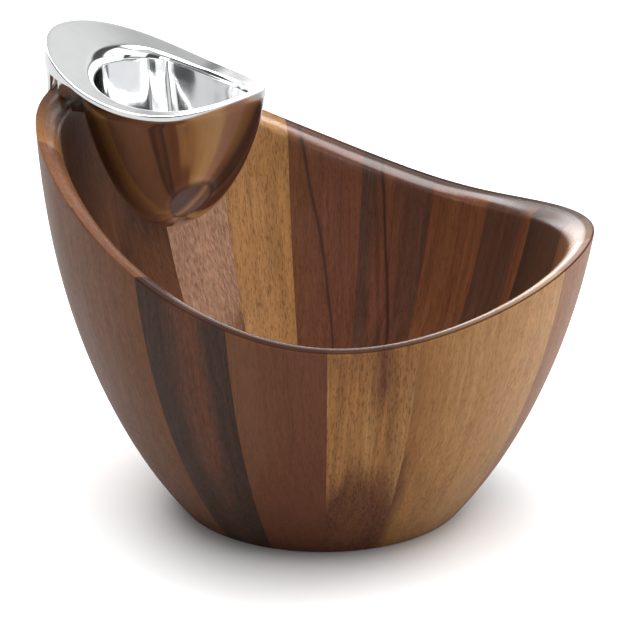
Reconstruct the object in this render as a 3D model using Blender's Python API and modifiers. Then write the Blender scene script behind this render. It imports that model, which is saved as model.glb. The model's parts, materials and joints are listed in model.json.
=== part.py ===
"""Chip and dip server: a coopered wooden bowl with a saddle-shaped rim, and a cast alloy dip bowl
that hooks over the high end of the rim and lifts off.

Metres, +Z up. The origin is the centre of the bowl's underside. The high end of the rim and the dip
bowl are towards -X, so distances along the dip bowl are given as "out", the distance from the bowl's
axis towards -X.
"""

import math

import bmesh
import bpy
import numpy as np
from mathutils import Matrix, Vector

NAME = "chip_and_dip_server"
GAP = 0.0003
SHARP_ANGLE = math.radians(30)

# Wooden bowl: (height, outside radius), the rim's line in side elevation as (x, height), and staves.
OUTSIDE = ((0, 0.073), (0.010, 0.081), (0.025, 0.0913), (0.050, 0.1055), (0.090, 0.1222),
           (0.130, 0.1337), (0.170, 0.1404), (0.215, 0.1442), (0.250, 0.1450))
RIM_LINE = ((-0.160, 0.2192), (-0.145, 0.2130), (-0.100, 0.1846), (-0.050, 0.1567), (0, 0.1381),
            (0.050, 0.1319), (0.100, 0.1387), (0.150, 0.1561))
WALL = 0.012
FLOOR = 0.014
TOP_OF_BLANK = 0.235
DISC_RADIUS = 0.058
DISC_EDGE_BEVEL = 0.0006
DISC_SIDES = 64
FIRST_SEAM = -133.9
STAVE_WIDTHS = (19.5, 20.5, 21, 19.5, 19.5, 20, 19, 19, 19, 17, 17, 19, 18.5, 17,
                18.9, 18.9, 18.9, 18.9, 18.9)
PEAK_STAVE = 17
STEPS_PER_STAVE = 4
OUTSIDE_HEIGHTS = (0, 0.004, 0.010, 0.018, 0.030, 0.050, 0.075, 0.105, 0.140, 0.175, 0.205, TOP_OF_BLANK)
INSIDE_HEIGHTS = (TOP_OF_BLANK, 0.205, 0.175, 0.140, 0.105, 0.075, 0.050, 0.030, 0.016)
FLOOR_CORNER = ((0.0675, 0.0152), (0.0600, FLOOR))
RIM_CUTTER_POINTS = 32
CUTTER_TOP = 0.27
CUTTER_REACH = 0.16

# Dip bowl: its top edge in side elevation as (out, height), and its outlines in plan. A low end power
# makes an outline's end blunt, and a high one makes it pointed.
TOP_EDGE = ((0.0295, 0.2185), (0.062, 0.2140), (0.097, 0.2205), (0.120, 0.2300), (0.143, 0.2410))
TIP = 0.0295
WIDEST = 0.097
HALF_WIDTH = 0.0533
TIP_POWER = 1.8
FLANGE_END = 0.143
FLANGE_END_POWER = 1.06
FLANGE_FOOT_END = 0.1438
FLANGE_FOOT = 0.226
EDGE_THICKNESS = 0.0038
UNDERSIDE_END = 0.127
UNDERSIDE_RISE = 0.0005
BODY_END = 0.1233
BODY_HALF_WIDTH = 0.0526
BODY_END_POWER = 0.9
BODY_TOP = 0.224
BODY_BELOW_EDGE = 0.001
BODY_BOTTOM = 0.1408
BODY_CENTRE = 0.0813
BODY_FULLNESS = 1.43
CAVITY_TIP = 0.036
CAVITY_WIDEST = 0.095
CAVITY_END = 0.1195
CAVITY_END_POWER = 1.2
CAVITY_HALF_WIDTH = 0.0422
CAVITY_DIP = 0.0022
CAVITY_ROUNDING = 0.0022
CAVITY_BOTTOM = 0.1448
CAVITY_FULLNESS = 1.60
SECTION_ROUNDING = 0.5
POINTS_AROUND = 48
BODY_DEPTHS = (0.05, 0.14, 0.27, 0.42, 0.57, 0.72, 0.84, 0.93, 0.98)
CAVITY_DEPTHS = (0.10, 0.25, 0.42, 0.60, 0.76, 0.88, 0.965)

# Hook under the flange: a saddle with a cheek inside the wall, and a narrow tongue outside it.
SADDLE_HALF_WIDTH = 0.010
SADDLE_END = 0.137
SADDLE_INNER_END = 0.1316
CHEEK_FACE = 0.1299
CHEEK_FOOT = 0.200
CHEEK_FOOT_START = 0.1166
CHEEK_ROOT_START = 0.1212
TONGUE_HALF_WIDTH = 0.005
TONGUE_FOOT = 0.197
TONGUE_INNER = 0.1420
TONGUE_OUTER = 0.1444
ARCH_FOOT = 0.2205
HOOK_ROOT = 0.2285
HOOK_OVERLAP = 0.002

WOOD_ROUGHNESS = 0.42
ALLOY_ROUGHNESS = 0.08
WOOD_COLOURS = ((0.130, 0.056, 0.026), (0.115, 0.046, 0.022), (0.170, 0.066, 0.026),
                (0.300, 0.135, 0.050), (0.280, 0.130, 0.055), (0.240, 0.115, 0.050),
                (0.130, 0.062, 0.034), (0.150, 0.068, 0.034), (0.055, 0.024, 0.013),
                (0.085, 0.030, 0.015), (0.140, 0.058, 0.026), (0.110, 0.040, 0.020),
                (0.170, 0.070, 0.034), (0.290, 0.150, 0.062), (0.150, 0.072, 0.045),
                (0.075, 0.034, 0.019), (0.140, 0.060, 0.028), (0.120, 0.050, 0.024),
                (0.180, 0.085, 0.040))
DISC_COLOUR = (0.150, 0.066, 0.030)
ALLOY_COLOUR = (0.80, 0.80, 0.81)


def smooth_line(points):
    """A natural cubic spline through the points, as a function of their first coordinate."""
    x, y = np.array(points, float).T
    step = np.diff(x)
    slope = np.diff(y) / step
    count = len(x)
    matrix = np.eye(count)
    right = np.zeros(count)
    for i in range(1, count - 1):
        matrix[i, i - 1:i + 2] = step[i - 1], 2 * (step[i - 1] + step[i]), step[i]
        right[i] = 6 * (slope[i] - slope[i - 1])
    bend = np.linalg.solve(matrix, right)

    def height(at):
        i = int(np.clip(np.searchsorted(x, at) - 1, 0, count - 2))
        low, high, h = at - x[i], x[i + 1] - at, step[i]
        cubic = (bend[i] * high ** 3 + bend[i + 1] * low ** 3) / (6 * h)
        return float(cubic + (y[i] / h - bend[i] * h / 6) * high + (y[i + 1] / h - bend[i + 1] * h / 6) * low)

    return height


outside_radius = smooth_line(OUTSIDE)
rim_height = smooth_line(RIM_LINE)
top_edge = smooth_line(TOP_EDGE)


def start_scene():
    for old in list(bpy.data.objects):
        bpy.data.objects.remove(old)
    parts = bpy.data.collections.new(NAME)
    cutters = bpy.data.collections.new("cutters")
    bpy.context.scene.collection.children.link(parts)
    bpy.context.scene.collection.children.link(cutters)
    return parts, cutters


def material(name, colour, roughness, metallic=0.0):
    made = bpy.data.materials.new(name)
    made.use_nodes = True
    shader = made.node_tree.nodes["Principled BSDF"]
    shader.inputs["Base Color"].default_value = (*colour, 1)
    shader.inputs["Roughness"].default_value = roughness
    shader.inputs["Metallic"].default_value = metallic
    return made


def add_object(name, bm, collection, finish=None):
    """Turns a bmesh into an object with outward faces and smooth shading."""
    bmesh.ops.recalc_face_normals(bm, faces=bm.faces)
    mesh = bpy.data.meshes.new(name)
    bm.to_mesh(mesh)
    bm.free()
    mesh.shade_smooth()
    mesh.set_sharp_from_angle(angle=SHARP_ANGLE)
    made = bpy.data.objects.new(name, mesh)
    collection.objects.link(made)
    if finish:
        mesh.materials.append(finish)
    return made


def make_cutter(cutter):
    cutter.hide_render = True
    cutter.display_type = "WIRE"


def boolean(target, other, operation):
    change = target.modifiers.new(operation.lower() + "_" + other.name, "BOOLEAN")
    change.operation = operation
    change.solver = "EXACT"
    change.object = other


def extruded(name, outline, half_width, collection):
    """A solid with an outline in the XZ plane, half_width to each side of it."""
    bm = bmesh.new()
    verts = [bm.verts.new((x, -half_width, z)) for x, z in outline]
    face = bm.faces.new(verts)
    top = bmesh.ops.extrude_face_region(bm, geom=[face])
    moved = [item for item in top["geom"] if isinstance(item, bmesh.types.BMVert)]
    bmesh.ops.translate(bm, verts=moved, vec=(0, 2 * half_width, 0))
    return add_object(name, bm, collection)


def wall_section():
    """The bowl wall's section as (radius, height): up the outside, down the inside, out along the floor."""
    points = [(outside_radius(z), z) for z in OUTSIDE_HEIGHTS]
    for z in INSIDE_HEIGHTS:
        lean = math.atan((outside_radius(z + 0.001) - outside_radius(z)) / 0.001)
        points.append((outside_radius(z) - WALL * math.cos(lean), z + WALL * math.sin(lean)))
    points.extend(FLOOR_CORNER)
    ledge = DISC_RADIUS + GAP
    points.extend([(ledge, FLOOR), (ledge, 0)])
    return points


def make_stave(name, start, width, rim_cutter, collection, finish):
    """Spins the wall's section through one stave's width and cuts it to the rim's line."""
    bm = bmesh.new()
    turn = Matrix.Rotation(math.radians(start), 4, "Z")
    verts = [bm.verts.new(turn @ Vector((r, 0, z))) for r, z in wall_section()]
    face = bm.faces.new(verts)
    spun = bmesh.ops.spin(bm, geom=[face], cent=(0, 0, 0), axis=(0, 0, 1),
                          angle=math.radians(width), steps=STEPS_PER_STAVE)
    last = [item for item in spun["geom_last"] if isinstance(item, bmesh.types.BMVert)]
    for ring, angle, side in ((verts, start, 1), (last, start + width, -1)):
        across = Matrix.Rotation(math.radians(angle), 4, "Z") @ Vector((0, side * GAP / 2, 0))
        bmesh.ops.translate(bm, verts=ring, vec=across)
    stave = add_object(name, bm, collection, finish)
    boolean(stave, rim_cutter, "DIFFERENCE")
    return stave


def make_rim_cutter(collection):
    first, last = RIM_LINE[0][0], RIM_LINE[-1][0]
    outline = [(x, rim_height(x)) for x in np.linspace(first, last, RIM_CUTTER_POINTS)]
    outline += [(last, CUTTER_TOP), (first, CUTTER_TOP)]
    cutter = extruded("rim_cutter", outline, CUTTER_REACH, collection)
    make_cutter(cutter)
    return cutter


def make_rebate_cutter(collection):
    """The shallow rebate in the outside of the peak that takes the hook's tongue."""
    inner = GAP - TONGUE_INNER
    foot = TONGUE_FOOT - 2 * GAP
    outline = [(inner, foot), (inner, CUTTER_TOP), (-CUTTER_REACH, CUTTER_TOP), (-CUTTER_REACH, foot)]
    cutter = extruded("rebate_cutter", outline, TONGUE_HALF_WIDTH + GAP, collection)
    make_cutter(cutter)
    return cutter


def make_wooden_bowl(parts, cutters):
    rim_cutter = make_rim_cutter(cutters)
    start = FIRST_SEAM
    for number, (width, colour) in enumerate(zip(STAVE_WIDTHS, WOOD_COLOURS), 1):
        name = f"stave_{number:02d}"
        finish = material(name + "_wood", colour, WOOD_ROUGHNESS)
        stave = make_stave(name, start, width, rim_cutter, parts, finish)
        if number == PEAK_STAVE:
            boolean(stave, make_rebate_cutter(cutters), "DIFFERENCE")
        start += width
    bpy.ops.mesh.primitive_cylinder_add(vertices=DISC_SIDES, radius=DISC_RADIUS, depth=FLOOR,
                                        location=(0, 0, FLOOR / 2))
    disc = bpy.context.object
    disc.name = "base_disc"
    disc.data.name = "base_disc"
    disc.data.shade_smooth()
    disc.data.set_sharp_from_angle(angle=SHARP_ANGLE)
    disc.data.materials.append(material("base_disc_wood", DISC_COLOUR, WOOD_ROUGHNESS))
    edge = disc.modifiers.new("edge", "BEVEL")
    edge.width = DISC_EDGE_BEVEL
    edge.segments = 1
    for collection in list(disc.users_collection):
        collection.objects.unlink(disc)
    parts.objects.link(disc)


def leaf(tip, widest, end, half_width, end_power):
    """A leaf-shaped outline in plan as (out, width) from the tip along one side, round the end and back."""
    quarter = POINTS_AROUND // 4
    side = []
    for i in range(quarter):
        turn = math.pi / 2 * i / quarter
        side.append((tip + (widest - tip) * (1 - math.cos(turn)), half_width * math.sin(turn) ** TIP_POWER))
    for i in range(quarter + 1):
        turn = math.pi / 2 * i / quarter
        across = half_width * math.cos(turn) ** end_power if i < quarter else 0
        side.append((widest + (end - widest) * math.sin(turn), across))
    return side + [(out, -across) for out, across in reversed(side[1:-1])]


def ring(outline, height):
    """Places an outline at the height that the function gives for each distance out."""
    return [Vector((-out, across, height(out))) for out, across in outline]


def foot_height(out):
    return min(top_edge(out) - EDGE_THICKNESS, FLANGE_FOOT)


def hollow_ring(outline, top, bottom, fullness, depth):
    """One ring of a rounded bowl under an outline, at a share of the depth from its top to its bottom.

    The outline shrinks towards the bowl's middle and turns from a leaf into an oval on the way down.
    """
    shrink = math.sqrt(1 - depth ** fullness)
    low = min(out for out, across in outline)
    high = max(out for out, across in outline)
    half_width = max(across for out, across in outline)
    middle, reach = (low + high) / 2, (high - low) / 2
    points = []
    for out, across in outline:
        oval = half_width * math.sqrt(max(0, 1 - ((out - middle) / reach) ** 2))
        share = SECTION_ROUNDING * depth
        width = abs(across) * (1 - share) + oval * share
        z = top(out) - (top(out) - bottom) * depth
        x = BODY_CENTRE + (out - BODY_CENTRE) * shrink
        points.append(Vector((-x, math.copysign(width, across) * shrink, z)))
    return points


def casting_rings():
    """The dip bowl's surface as rings, from the middle of its outside to the middle of its cavity."""
    def body_top(out):
        return min(top_edge(out) - BODY_BELOW_EDGE, BODY_TOP)

    def mouth_height(out):
        return top_edge(out) - CAVITY_DIP * (out - TIP) / (CAVITY_END - TIP)

    def cavity_top(out):
        return top_edge(out) - CAVITY_DIP - CAVITY_ROUNDING

    body = leaf(TIP, WIDEST, BODY_END, BODY_HALF_WIDTH, BODY_END_POWER)
    underside = leaf(TIP, WIDEST, UNDERSIDE_END, HALF_WIDTH, FLANGE_END_POWER)
    foot = leaf(TIP, WIDEST, FLANGE_FOOT_END, HALF_WIDTH, FLANGE_END_POWER)
    edge = leaf(TIP, WIDEST, FLANGE_END, HALF_WIDTH, FLANGE_END_POWER)
    mouth = leaf(CAVITY_TIP, CAVITY_WIDEST, CAVITY_END, CAVITY_HALF_WIDTH, CAVITY_END_POWER)
    cavity = leaf(CAVITY_TIP + CAVITY_ROUNDING, CAVITY_WIDEST, CAVITY_END - CAVITY_ROUNDING,
                  CAVITY_HALF_WIDTH - CAVITY_ROUNDING, CAVITY_END_POWER)
    rings = [hollow_ring(body, body_top, BODY_BOTTOM, BODY_FULLNESS, depth)
             for depth in reversed(BODY_DEPTHS)]
    rings.append(ring(underside, lambda out: foot_height(out) - UNDERSIDE_RISE))
    rings.append(ring(foot, foot_height))
    rings.append(ring(edge, top_edge))
    rings.append(ring(mouth, mouth_height))
    rings.append(ring(cavity, cavity_top))
    rings += [hollow_ring(cavity, cavity_top, CAVITY_BOTTOM, CAVITY_FULLNESS, depth)
              for depth in CAVITY_DEPTHS]
    return rings


def loft(rings, first_pole, last_pole):
    """Joins rings of equal length by quads and closes each end on a pole."""
    bm = bmesh.new()
    loops = [[bm.verts.new(point) for point in points] for points in rings]
    for lower, upper in zip(loops, loops[1:]):
        for i, vert in enumerate(lower):
            after = (i + 1) % len(lower)
            bm.faces.new((vert, lower[after], upper[after], upper[i]))
    for pole, loop in ((first_pole, loops[0]), (last_pole, loops[-1])):
        centre = bm.verts.new(pole)
        for i, vert in enumerate(loop):
            bm.faces.new((centre, loop[i - 1], vert))
    return bm


def make_hook(cutters):
    """The saddle and its cheek, and the tongue with the arch that carries it."""
    def over_rim(out):
        return rim_height(-out) + GAP

    tongue_start = SADDLE_END - HOOK_OVERLAP
    tongue_root = HOOK_ROOT + HOOK_OVERLAP
    saddle = [(CHEEK_FOOT_START, CHEEK_FOOT), (CHEEK_FACE, CHEEK_FOOT),
              (CHEEK_FACE, over_rim(SADDLE_INNER_END)), (SADDLE_END, over_rim(SADDLE_END)),
              (SADDLE_END, HOOK_ROOT), (CHEEK_ROOT_START, HOOK_ROOT)]
    tongue = [(tongue_start, ARCH_FOOT), (TONGUE_INNER, ARCH_FOOT), (TONGUE_INNER, TONGUE_FOOT),
              (TONGUE_OUTER, TONGUE_FOOT), (TONGUE_OUTER, FLANGE_FOOT),
              (FLANGE_END - HOOK_OVERLAP, tongue_root), (tongue_start, tongue_root)]
    solids = []
    for name, outline, half_width in (("hook_saddle", saddle, SADDLE_HALF_WIDTH),
                                      ("hook_tongue", tongue, TONGUE_HALF_WIDTH)):
        solid = extruded(name, [(-out, z) for out, z in outline], half_width, cutters)
        make_cutter(solid)
        solids.append(solid)
    return solids


def make_dip_bowl(parts, cutters):
    """The casting, with its origin on the saddle, on the line that it lifts off along."""
    bm = loft(casting_rings(), (-BODY_CENTRE, 0, BODY_BOTTOM), (-BODY_CENTRE, 0, CAVITY_BOTTOM))
    seat = Vector((-SADDLE_END, 0, rim_height(-SADDLE_END)))
    bmesh.ops.translate(bm, verts=bm.verts, vec=-seat)
    dip_bowl = add_object("dip_bowl", bm, parts, material("alloy", ALLOY_COLOUR, ALLOY_ROUGHNESS, 1.0))
    dip_bowl.location = seat
    for solid in make_hook(cutters):
        boolean(dip_bowl, solid, "UNION")


def main():
    parts, cutters = start_scene()
    make_wooden_bowl(parts, cutters)
    make_dip_bowl(parts, cutters)


main()
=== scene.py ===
"""Looks of the chip and dip server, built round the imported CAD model.

Metres, +Z up, in the CAD model's frame. Each stave, the base disc and the cast dip bowl get a finer
mesh that replaces its CAD node, with rounded edges and a procedural material. Distances along the
dip bowl are given as "out", the distance from the bowl's axis towards -X.
"""

import json
import math

import bmesh
import bpy
import numpy as np
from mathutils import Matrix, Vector


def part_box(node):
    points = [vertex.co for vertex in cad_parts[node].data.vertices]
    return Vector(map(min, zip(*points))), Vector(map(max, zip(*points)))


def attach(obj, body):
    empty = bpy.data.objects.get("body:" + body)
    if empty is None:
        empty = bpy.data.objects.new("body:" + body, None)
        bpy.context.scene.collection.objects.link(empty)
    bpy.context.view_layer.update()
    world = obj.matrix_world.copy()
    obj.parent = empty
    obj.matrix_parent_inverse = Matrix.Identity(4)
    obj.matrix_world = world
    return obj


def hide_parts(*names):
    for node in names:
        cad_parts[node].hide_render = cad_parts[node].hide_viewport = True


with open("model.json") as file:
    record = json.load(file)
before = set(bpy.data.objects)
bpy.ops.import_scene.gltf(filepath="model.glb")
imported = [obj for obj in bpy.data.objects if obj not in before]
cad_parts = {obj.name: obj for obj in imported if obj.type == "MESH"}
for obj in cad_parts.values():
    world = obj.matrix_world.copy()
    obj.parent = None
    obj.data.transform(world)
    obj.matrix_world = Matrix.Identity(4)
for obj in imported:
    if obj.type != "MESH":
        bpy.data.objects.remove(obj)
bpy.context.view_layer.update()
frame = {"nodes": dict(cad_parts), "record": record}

STAVES = sorted(name for name in frame["nodes"] if name.startswith("stave_"))
PEAK_STAVE = "stave_17"

# Camera: it looks at a point on the bowl, from this far away.
VIEW_TARGET = Vector((0, -0.0046, 0.0986))
VIEW_AZIMUTH = math.radians(16.17)
VIEW_ELEVATION = math.radians(21.31)
VIEW_DISTANCE = 2.0
VIEW_FAR = 20
LENS = 221.0
SENSOR = 36

# Wooden bowl. The rim's inner edge is rounded over a reach along the rim and a rounding down the wall.
# A tangent is how far off a point is read to get a curve's direction.
WALL = 0.012
OUTSIDE_INSET = 0.00016
SEAM = 0.00004
RIM_OUTER_ROUNDING = 0.0013
RIM_INNER_ROUNDING = 0.0058
RIM_INNER_REACH = 0.0080
FOOT_ROUNDING = 0.0012
FOOT_TANGENT = 0.01
RIM_OUTER_TANGENT = 0.004
RIM_INNER_TANGENT = 0.006
INSIDE_FOOT = 0.020
INSIDE_FOOT_TANGENT = 0.002
INSIDE_FOOT_SHARE = 0.98
BEARINGS_PER_STAVE = 28
OUTSIDE_ROWS = 44
INSIDE_ROWS = 36
RIM_ROWS = 6
ARC_STEPS = 8
CURVE_TERMS = 7
RIM_READ_ABOVE = 0.1
RIM_SEARCH = (0.06, 0.24)
RIM_SEARCH_STEPS = 40
RIM_POLISH_DEPTH = 0.006
RIM_POLISH_START = 0.0040
RIM_POLISH_FADE = 0.001
BOARD_LEAN_FOOT = 0.02
BOARD_LEAN_TOP = 0.20
REBATE_TOP = 0.27
REBATE_OUT = 0.16
REBATE_ROUNDING = 0.0005
DISC_SIDES = 160
DISC_EDGE = 0.0005
DISC_RINGS = (0.02, 0.04)
DISC_BOARD_SHIFT = (0.31, 0.17, 0.05)

# Dip bowl
TOP_EDGE = ((0.0295, 0.2185), (0.062, 0.2140), (0.097, 0.2205), (0.120, 0.2300), (0.143, 0.2410))
WIDEST = 0.097
TIP_POWER = 1.8
FLANGE_END = 0.143
FLANGE_END_POWER = 1.06
FLANGE_FOOT_END = 0.1438
FLANGE_FOOT = 0.226
EDGE_THICKNESS = 0.0027
UNDERSIDE_END = 0.127
UNDERSIDE_RISE = 0.0005
BODY_END = 0.1233
BODY_HALF_WIDTH = 0.0526
BODY_END_POWER = 0.9
BODY_TOP = 0.224
BODY_BELOW_EDGE = 0.001
BODY_CENTRE = 0.0813
BODY_FULLNESS = 1.43
BODY_TAPER = 0.22
CAVITY_TIP = 0.0382
CAVITY_WIDEST = 0.095
CAVITY_END = 0.1173
CAVITY_END_POWER = 1.2
CAVITY_HALF_WIDTH = 0.0400
CAVITY_DIP = 0.0022
CAVITY_BOTTOM = 0.1448
CAVITY_FULLNESS = 1.60
SECTION_ROUNDING = 0.5
POINTS_AROUND = 192
BODY_ROWS = 44
CAVITY_ROWS = 44
FLANGE_ROWS = 10
FIRST_DEPTH = 0.05
CAVITY_FIRST_DEPTH = 0.10
DEPTH_POWER = 2.2
LEDGE_START = 0.001
LEDGE_FULL = 0.006
OUT_END_START = 0.10
TIP_KEEP = 0.020
TIP_FREEDOM = 0.03
FLANGE_RELAX = 0.004
BODY_RELAX = 0.006
CAVITY_RELAX = 0.006

# The casting's roundings. Each grows by its second number at the outer end, and the share limits one to
# part of the way to its neighbour.
UNDER_ROUNDING = (0.0025, 0)
LOWER_ROUNDING = (0.0004, 0.0026)
EDGE_ROUNDING = (0.0013, -0.0003)
MOUTH_ROUNDING = (0.0030, 0.0030)
ROUNDING_SHARE = 0.45
MOUTH_SHARE = 0.9
UNDER_STEPS = 4
EDGE_STEPS = 6
MOUTH_STEPS = 12

# Hook
SADDLE_HALF_WIDTH = 0.010
SADDLE_END = 0.137
SADDLE_INNER_END = 0.1316
CHEEK_FACE = 0.1299
CHEEK_FOOT = 0.200
CHEEK_FOOT_START = 0.1166
CHEEK_ROOT_START = 0.1212
TONGUE_HALF_WIDTH = 0.005
TONGUE_FOOT = 0.197
TONGUE_INNER = 0.1420
TONGUE_OUTER = 0.1444
ARCH_FOOT = 0.2205
HOOK_ROOT = 0.2285
HOOK_OVERLAP = 0.002
HOOK_ROUNDING = 0.0008
GAP = 0.0003

SHARP_ANGLE = math.radians(38)

# Wood texture. A noise is (cells per metre across the board, along it and through it; detail; roughness).
# Shades are how much a texture darkens and lightens the wood.
DRIFT_NOISE = (28, 7, 28), 3, 0.55
LINE_NOISE = (330, 5, 330), 4, 0.65
FIBRE_NOISE = (1500, 90, 1500), 2, 0.6
FIGURE_NOISE = (850, 200, 850), 3, 0.6
CROWD_NOISE = (60, 25, 60), 2, 0.5
DASH_NOISE = (1500, 230, 1500), 1, 0.5
SMEAR_NOISE = (40, 12, 40), 3, 0.6
LINE_SHADES = (-0.24, 0.20)
FIBRE_SHADES = (-0.14, 0.14)
RIPPLE_SHADES = (-0.22, 0.20)
RIPPLE_SLANT = math.radians(14)
BOARD_OFFSET = (0.37, 0.53, 0.29)

# Pores: dashes where a noise passes a threshold that is lower in a crowd, and single round-ended vessels.
DASH_THRESHOLD = (0.58, 0.50)
VESSEL_SCALE = (1400, 290, 1400)
VESSEL_CHANCE = 0.45
VESSEL_SIZE = 0.28
PORE_EDGE = 0.10
DASH_STRENGTH = 0.55
VESSEL_STRENGTH = (0.35, 0.3)
PORE_SHADE = (0.42, 0.34, 0.30)

# Heights between which a board's tones pass from foot to middle and from middle to rim, and how far the
# drift moves a tone across the board and along it.
FOOT_TO_MIDDLE = (0.060, 0.100)
MIDDLE_TO_RIM = (0.120, 0.160)
DRIFT_ACROSS = 0.08
DRIFT_ALONG = 0.035
STREAK_HEIGHTS = (0.0, 0.18)

# Finish of the wood: end grain soaks up oil and is dark and dull, and the rim's inner edge is polished.
SOAKED_FACING = (0.30, 0.92)
SOAKED_SHADE = (0.22, 0.18, 0.17)
DULL_FACING = (0.4, 0.9)
WOOD_ROUGHNESS = (0.36, 0.46)
PORE_ROUGHNESS = 0.22
RIM_SMOOTHNESS = 0.22
WOOD_GLOSS = 0.18
END_GRAIN_GLOSS = 0.03
RIM_GLOSS = 0.75
FIBRE_RELIEF = 0.3
WOOD_RELIEF = (0.35, 0.00008)

# Alloy. The outside, and the body most of all, are darker and cooler than the flange's edge, a painted shade
# on what they mirror; the flange's top is satin and darker by a painted shade too.
HAZE_NOISE = (60, 60, 60), 4, 0.6
FINE_NOISE = (900, 900, 900), 2, 0.5
WAVE_NOISE = (75, 75, 75), 1, 0.5
ALLOY_DARK = (0.88, 0.885, 0.89)
ALLOY_LIGHT = (0.92, 0.925, 0.93)
PAINTED_OUTSIDE_SHADE = (0.80, 0.805, 0.815)
PAINTED_BODY_SHADE = (0.88, 0.90, 0.92)
PAINTED_FLANGE_SHADE = (0.86, 0.86, 0.86)
ALLOY_ROUGHNESS = (0.05, 0.10)
FLANGE_ROUGHNESS = 0.10
OUTSIDE_ROUGHNESS = 0.05
BODY_HEIGHTS = (0.2085, 0.2115)
FLANGE_HEIGHTS = (0.205, 0.212)
FLANGE_FACING = (0.80, 0.94)
FINE_RELIEF = 0.03
ALLOY_RELIEF = (0.25, 0.0002)

# Studio dome: light from each direction. A panel is (first and last bearing from +Y towards +X in
# degrees, lowest and highest upward part of the direction, strength). The camera sees white instead.
FLOOR_SIZE = 4
FLOOR_DROP = 0.0002
FLOOR_SEEN = 0.90
FLOOR_BOUNCE = 0.44
PAPER_ROUGHNESS = 0.9
PAPER_GLOSS = 0.1
BACKDROP_SEEN = 1.1
PANEL_EDGE_TURN = 3
PANEL_EDGE_RISE = 0.05
DOME_DARK = 0.08
DOME_PANELS = (
    (-60, 62, -0.1, 0.15, 3.0),    # horizon behind the bowl, for the near rim's bright line
    (-70, -24, 0.15, 0.26, 2.2),   # back left, low
    (-70, -20, 0.30, 0.5, 1.2),    # back left, for the tip of the dip bowl
    (-14, 14, 0.22, 0.5, 0.76),    # back wall, mirrored by the flange and the right of the cavity
    (33, 74, 0.2, 0.5, 1.7),       # back right, after a dark gap that the cavity mirrors as a strip
    (74, 108, 0.03, 0.5, 1.1),     # right wall
    (65, 110, 0.5, 0.8, 0.60),     # right wall, high
    (-62, -24, 0.5, 0.85, 4.6),    # back left, high
    (-20, 20, 0.5, 0.85, 0.45),    # back, high
    (26, 65, 0.58, 0.85, 5.2),     # back right, high
    (-182, 182, 0.85, 1.1, 5.2),   # overhead
    (150, 182, 0.1, 0.5, 1.8),     # front right
    (-182, -110, 0.1, 0.5, 0.4),   # front left
    (110, 182, 0.5, 0.85, 0.3),    # front right, high
)

# Wood tones as linear colour.
TONES = {
    "ebony": (0.022, 0.012, 0.009),
    "coffee": (0.052, 0.025, 0.016),
    "umber": (0.080, 0.036, 0.022),
    "mahogany": (0.095, 0.037, 0.022),
    "russet": (0.135, 0.045, 0.021),
    "chestnut": (0.155, 0.060, 0.025),
    "brown": (0.162, 0.068, 0.033),
    "hazel": (0.262, 0.115, 0.037),
    "honey": (0.330, 0.150, 0.048),
    "clay": (0.330, 0.155, 0.088),
    "tan": (0.390, 0.195, 0.070),
    "straw": (0.440, 0.228, 0.090),
    "cream": (0.510, 0.280, 0.125),
    "rose": (0.470, 0.270, 0.175),
}

BASE_TONES = ((0, "umber"), (0.45, "coffee"), (0.54, "chestnut"), (0.62, "hazel"), (0.7, "umber"),
              (1, "russet"))

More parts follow.
